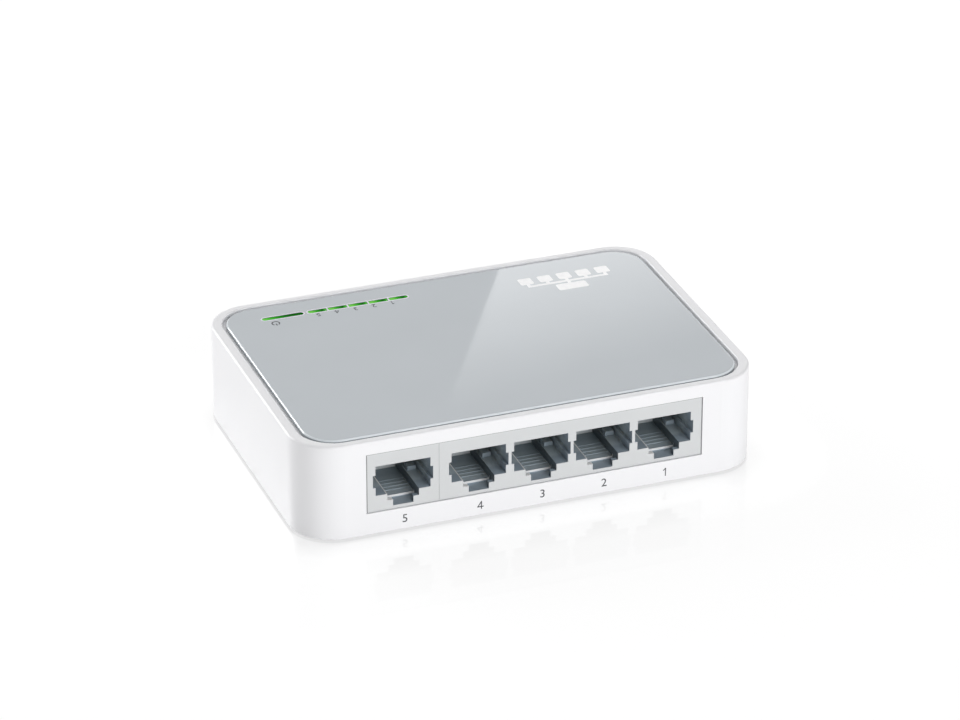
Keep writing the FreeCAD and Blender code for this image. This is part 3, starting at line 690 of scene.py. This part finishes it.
# ---- studio ------------------------------------------------------------------------------------
def emitter(name, colour=(1, 1, 1, 1), strength=1.0):
    material = bpy.data.materials.new(name)
    material.use_nodes = True
    nodes = material.node_tree.nodes
    nodes.clear()
    glow = nodes.new("ShaderNodeEmission")
    glow.inputs["Color"].default_value = colour
    glow.inputs["Strength"].default_value = strength
    output = nodes.new("ShaderNodeOutputMaterial")
    material.node_tree.links.new(glow.outputs["Emission"], output.inputs["Surface"])
    return material, glow


def card(name, corners, material):
    """A flat sheet through four corners, which isn't part of the object."""
    mesh = bpy.data.meshes.new(name)
    mesh.from_pydata(corners, [], [(0, 1, 2, 3)])
    mesh.materials.append(material)
    sheet = bpy.data.objects.new(name, mesh)
    bpy.context.scene.collection.objects.link(sheet)
    return sheet


SHEEN_REACH = 18 * MM            # the floor's mirror-like sheen fades out this far from the casing
CASING_CORNER = 9.5 * MM


def floor():
    """A pale glowing sheet: shaded where the object meets it, glossy beside it, matt further off."""
    s = Surface("floor_paper", roughness=0.004)
    s.drive("Base Color", s.mottle(grey(0.16), 0.01, 300))
    low, high = cad_bounds
    half = ((high[0] - low[0]) / 2, (high[1] - low[1]) / 2)
    reach = s.from_corner_centres(half, CASING_CORNER)
    edge, far = CASING_CORNER, CASING_CORNER + SHEEN_REACH
    s.set("IOR", 2.2)
    outward = s.remap(reach, edge, far, 0.0, 1.0)
    s.drive("Specular IOR Level", s.ramp(outward, [(0.0, grey(1.0)), (0.4, grey(0.2)), (1.0, grey(0.02))]))
    s.set("Emission Color", (1, 1, 1, 1))
    glow = s.ramp(outward, [(0.0, grey(0.575)), (0.4, grey(0.79)), (1.0, grey(0.85))])
    s.drive("Emission Strength", s.times(glow, s.remap(reach, edge, edge + 0.3 * MM, 0.87, 1.0)))
    size, z = 12.0, -0.02 * MM
    card("floor", [(-size, -size, z), (size, -size, z), (size, size, z), (-size, size, z)], s.material)


BACK_Y = 1.2                    # the reflector that the glossy panel mirrors stands this far back
CARD_CLIMB = (0.13, 0, 1)       # the way the card dims, mostly upwards
CARD_SPAN, CARD_GLOW = (0.6585, 0.7635), (2.84, 1.0)


def reflectors():
    """A broad white backdrop and, before its right half, a brighter leaning card."""
    white, _ = emitter("backdrop_glow", strength=1.0)
    card("backdrop", [(-2.4, BACK_Y + 0.4, 0.02), (2.4, BACK_Y + 0.4, 0.02), (2.4, BACK_Y + 0.4, 2.6),
                      (-2.4, BACK_Y + 0.4, 2.6)], white)
    bright, glow = emitter("card_glow")
    nodes, links = bright.node_tree.nodes, bright.node_tree.links
    place = nodes.new("ShaderNodeTexCoord")
    climb = nodes.new("ShaderNodeVectorMath")
    climb.operation = "DOT_PRODUCT"
    climb.inputs[1].default_value = CARD_CLIMB
    fall = nodes.new("ShaderNodeMapRange")
    links.new(place.outputs["Object"], climb.inputs[0])
    links.new(climb.outputs["Value"], fall.inputs["Value"])
    for socket, value in zip(RANGE_SOCKETS, CARD_SPAN + CARD_GLOW):
        fall.inputs[socket].default_value = value
    links.new(fall.outputs["Result"], glow.inputs["Strength"])
    card("bright_card", [(0.486, BACK_Y, 0.55), (0.80, BACK_Y, 0.55), (0.80, BACK_Y, 0.80),
                         (0.39, BACK_Y, 0.80)], bright)


def softbox(name, place, aim, size, power):
    lamp = bpy.data.lights.new(name, "AREA")
    lamp.shape = "RECTANGLE"
    lamp.size, lamp.size_y = size
    lamp.energy = power
    lit = bpy.data.objects.new(name, lamp)
    lit.location = place
    lit.rotation_euler = (Vector(aim) - Vector(place)).to_track_quat("-Z", "Y").to_euler()
    bpy.context.scene.collection.objects.link(lit)


def lights():
    centre = (0, 0, 0.01)
    softbox("overhead", (0.1, -0.1, 1.5), centre, (1.4, 1.2), 6.5)
    softbox("front", (0.0, -1.6, 0.6), centre, (0.9, 0.9), 8.6)
    softbox("front_right", (0.75, -1.5, 0.7), centre, (0.9, 0.9), 11.5)
    softbox("back_left", (-0.95, 1.25, 0.5), centre, (0.8, 0.8), 16.3)


def world():
    surroundings = bpy.data.worlds.new("studio")
    surroundings.use_nodes = True
    background = surroundings.node_tree.nodes["Background"]
    background.inputs["Color"].default_value = (1, 1, 1, 1)
    background.inputs["Strength"].default_value = 0.03
    bpy.context.scene.world = surroundings


EYE_AZIMUTH, EYE_ELEVATION, EYE_DISTANCE = math.radians(-20.33), math.radians(27.05), 0.9905
AIM_SHIFT = Vector((2.97, 6.74, 3.15)) * MM    # from the middle of the CAD box
LENS_MM, SENSOR_MM = 170.6, 36


def camera():
    """A long lens on the port side, turned towards port 5 and raised."""
    azimuth, elevation = EYE_AZIMUTH, EYE_ELEVATION
    low, high = cad_bounds
    aim = (Vector(low) + Vector(high)) / 2 + AIM_SHIFT
    away = Vector((math.sin(azimuth) * math.cos(elevation), -math.cos(azimuth) * math.cos(elevation),
                   math.sin(elevation)))
    lens = bpy.data.cameras.new("camera")
    lens.lens = LENS_MM
    lens.sensor_width = SENSOR_MM
    eye = bpy.data.objects.new("camera", lens)
    eye.location = aim + away * EYE_DISTANCE
    eye.rotation_euler = (-away).to_track_quat("-Z", "Y").to_euler()
    bpy.context.scene.collection.objects.link(eye)
    bpy.context.scene.camera = eye


camera()
dress_all()
printed_marks()
floor()
reflectors()
lights()
world()
bpy.context.scene.view_settings.view_transform = "Standard"
